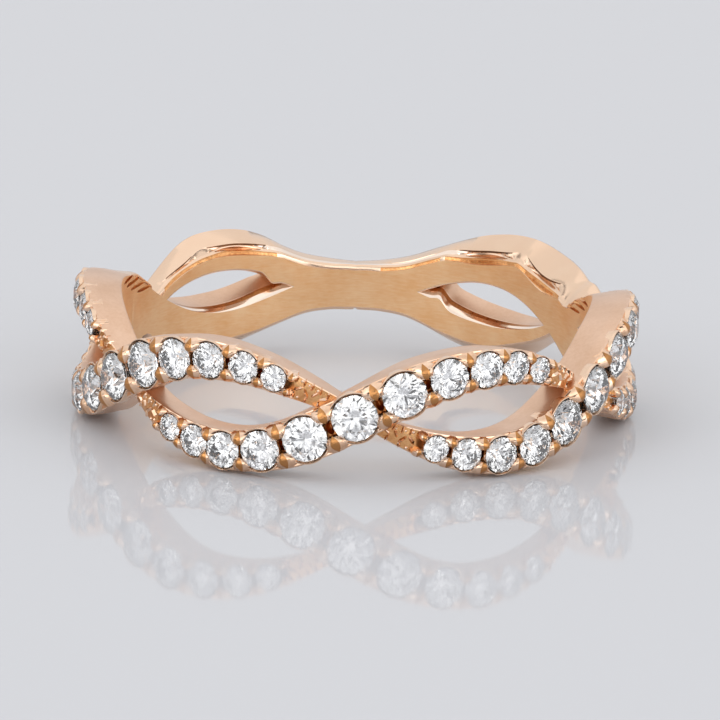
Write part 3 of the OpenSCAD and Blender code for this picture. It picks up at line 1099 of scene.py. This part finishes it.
# A sharp ridge with a steep and a slanted side, as a graver raises it
def makeCutTool(settings):
    long, wide, high = settings["length"] / 2, settings["width"] / 2, settings["height"]
    slant, short = wide * settings["slant"], long * settings["corner"]
    start, end = settings["ridge"]
    points = [(-long, 0, 0), (-short, -wide, 0), (short, -wide, 0), (long, 0, 0), (short, slant, 0)]
    points += [(-short, slant, 0), (-long * start, 0, high), (long * end, 0, high * settings["farHeight"])]
    faces = [(1, 2, 7, 6), (0, 1, 6), (2, 3, 7), (3, 4, 7), (4, 5, 6, 7), (5, 0, 6)]
    low = len(points)
    points += [(x, y, -settings["depth"]) for x, y, z in points[:6]]
    faces += [(i, (i + 1) % 6, low + (i + 1) % 6, low + i) for i in range(6)]
    faces.append(tuple(range(low, low + 6)))
    mesh = meshInMm("cutTool", points, faces)
    # The steep side is marked as a facet, so it takes the painted shade
    mark = mesh.attributes.new("facet", "FLOAT", "FACE")
    mark.data[0].value = 1
    faceOutwards(mesh)
    return newObject("cutTool", mesh)


# Both ends of every row that is whole there. The height is that of the taper's own top
def taperPlaces(crossing, first, last, marks):
    for n, side in ((first, -1), (last, 1)):
        if n not in (1, rowLength):
            continue
        for past, across, size, *turn in marks:
            share = side * (stoneAt(n)[0] + past)
            half = frontAt("farOut", share)
            low = bandSettings["stoneRise"] - bandSettings["rimRise"] + frontAt("drop", share)
            place = placeOnBand(crossing, share, low, across * half / taperHalf)
            if turn:
                place = place @ Matrix.Rotation(math.radians(turn[0] * side), 4, "Z")
            yield place, (size,) * 3


def makeTaperBeads(settings):
    tool = lathe("beadTool", settings["profile"], settings["sides"])
    places = [place for row in stoneRows for place in taperPlaces(*row, taperBeads)]
    return setOnPlaces("taperBeads", tool, places, "polished")


def makeTaperCuts(settings):
    places = [place for row in stoneRows for place in taperPlaces(*row, taperCuts)]
    return setOnPlaces("taperCuts", makeCutTool(settings), places, "cut")


prongs, collars = makeProngs(prongSettings), makeCollars(collarSettings)
beads, cuts = makeTaperBeads(beadSettings), makeTaperCuts(cutSettings)
for piece in (band, prongs, collars, beads, cuts):
    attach(piece, "root")
    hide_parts("band")
    print(piece.name, "set,", len(piece.data.polygons), "faces")

for name, node in frame["nodes"].items():
    if name.startswith("stone_"):
        node.data.materials.clear()
        node.data.materials.append(clearStone)
print("stones finished")

floorSettings = {"size": 3.0, "tint": (0.596, 0.603, 0.634), "roughness": 0.04, "ior": 1.17}


def makeFloor(settings):
    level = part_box("band")[0].z
    bpy.ops.mesh.primitive_plane_add(size=settings["size"], location=(0, 0, level))
    floor = bpy.context.object
    floor.name = "paleFloor"
    material, _, _, shader = newMaterial("paleFloor")
    shader.inputs["Base Color"].default_value = (*settings["tint"], 1)
    shader.inputs["Roughness"].default_value = settings["roughness"]
    shader.inputs["IOR"].default_value = settings["ior"]
    floor.data.materials.append(material)


makeFloor(floorSettings)
print("floor laid")

lightSettings = {
    "topSoftbox": {"place": (0.05, 0.10, 0.50), "size": 0.50, "power": 0.12, "colour": (1.0, 0.99, 0.97)},
    "leftSoftbox": {"place": (-0.42, -0.40, 0.34), "size": 0.22, "power": 0.16, "colour": (1.0, 1.0, 1.0)},
    "rightSoftbox": {"place": (0.45, -0.38, 0.28), "size": 0.20, "power": 0.14, "colour": (1.0, 1.0, 1.0)},
}


# Square softbox, turned to the ring
def makeLight(name, settings):
    data = bpy.data.lights.new(name, "AREA")
    data.shape = "SQUARE"
    data.size = settings["size"]
    data.energy = settings["power"]
    data.color = settings["colour"]
    light = bpy.data.objects.new(name, data)
    light.location = settings["place"]
    light.rotation_euler = (-Vector(settings["place"])).to_track_quat("-Z", "Y").to_euler()
    scene.collection.objects.link(light)


# Bright tent, brighter on the camera's side, with dark gaps between its cloths there
tentSettings = {
    "bright": (1.0, 1.0, 1.0),
    "brightFrom": 0.55,  # height of a direction, 1 straight up
    "low": (0.76, 0.77, 0.79),
    "gap": (0.01, 0.01, 0.01),
    "strength": 0.95,
    "frontStrength": 0.92,  # added towards the camera's side
    "front": (-0.45, 0.3),  # how far a direction leads away from the camera
    "frontUpTo": (0.45, 0.85),
    "gapScale": 3.4,
    "gapDetail": 1.0,
    "gapShare": (0.365, 0.385),
    "gapsUpTo": (0.60, 0.80),
    "gapsBackTo": (0.05, 0.35),
    "open": (0.10, 0.23),  # heights between which the tent is open round the camera
    "openAcross": (-0.12, 0.42),  # where that starts and ends, from left to right
    "openEdge": (0.02, 0.1),  # how soft its edges are, up and across
}


def makeTent(settings):
    world = bpy.data.worlds.new("studio")
    scene.world = world
    world.use_nodes = True
    nodes, links = world.node_tree.nodes, world.node_tree.links
    background = nodes["Background"]
    coords = addNode(nodes, "ShaderNodeTexCoord")
    direction = addNode(nodes, "ShaderNodeSeparateXYZ")
    links.new(coords.outputs["Generated"], direction.inputs["Vector"])
    x, y, z = direction.outputs
    cloth = addNode(nodes, "ShaderNodeTexNoise", Scale=settings["gapScale"], Detail=settings["gapDetail"])
    links.new(coords.outputs["Generated"], cloth.inputs["Vector"])
    sky = addRamp(nodes, links, z, [(0, settings["low"]), (settings["brightFrom"], settings["bright"])])

    # 1 up to the first end, 0 beyond the second
    def fall(source, first, second):
        ramp = addNode(nodes, "ShaderNodeMapRange", From_Min=second, From_Max=first)
        ramp.interpolation_type = "SMOOTHSTEP"
        links.new(source, ramp.inputs["Value"])
        return ramp.outputs["Result"]

    def times(a, b):
        return addMath(nodes, links, "MULTIPLY", a, b)

    gaps = times(fall(cloth.outputs["Fac"], *settings["gapShare"]), fall(z, *settings["gapsUpTo"]))
    upEdge, acrossEdge = settings["openEdge"]
    low, high = settings["open"]
    start, end = settings["openAcross"]
    upwards = times(fall(z, high, high + upEdge), fall(z, low, low - upEdge))
    across = times(fall(x, start, start - acrossEdge), fall(x, end, end + acrossEdge))
    dark = addMath(nodes, links, "MAXIMUM", gaps, times(upwards, across))
    dark = times(dark, fall(y, *settings["gapsBackTo"]))
    tint = addColourMix(nodes, links, share=dark, first=sky, second=(*settings["gap"], 1))
    links.new(tint, background.inputs["Color"])
    front = times(fall(y, *settings["front"]), fall(z, *settings["frontUpTo"]))
    strength = addMath(nodes, links, "MULTIPLY_ADD", front, settings["frontStrength"], settings["strength"])
    links.new(strength, background.inputs["Strength"])


makeTent(tentSettings)
for name, settings in lightSettings.items():
    makeLight(name, settings)
scene.view_settings.view_transform = "Standard"
print("lights set")
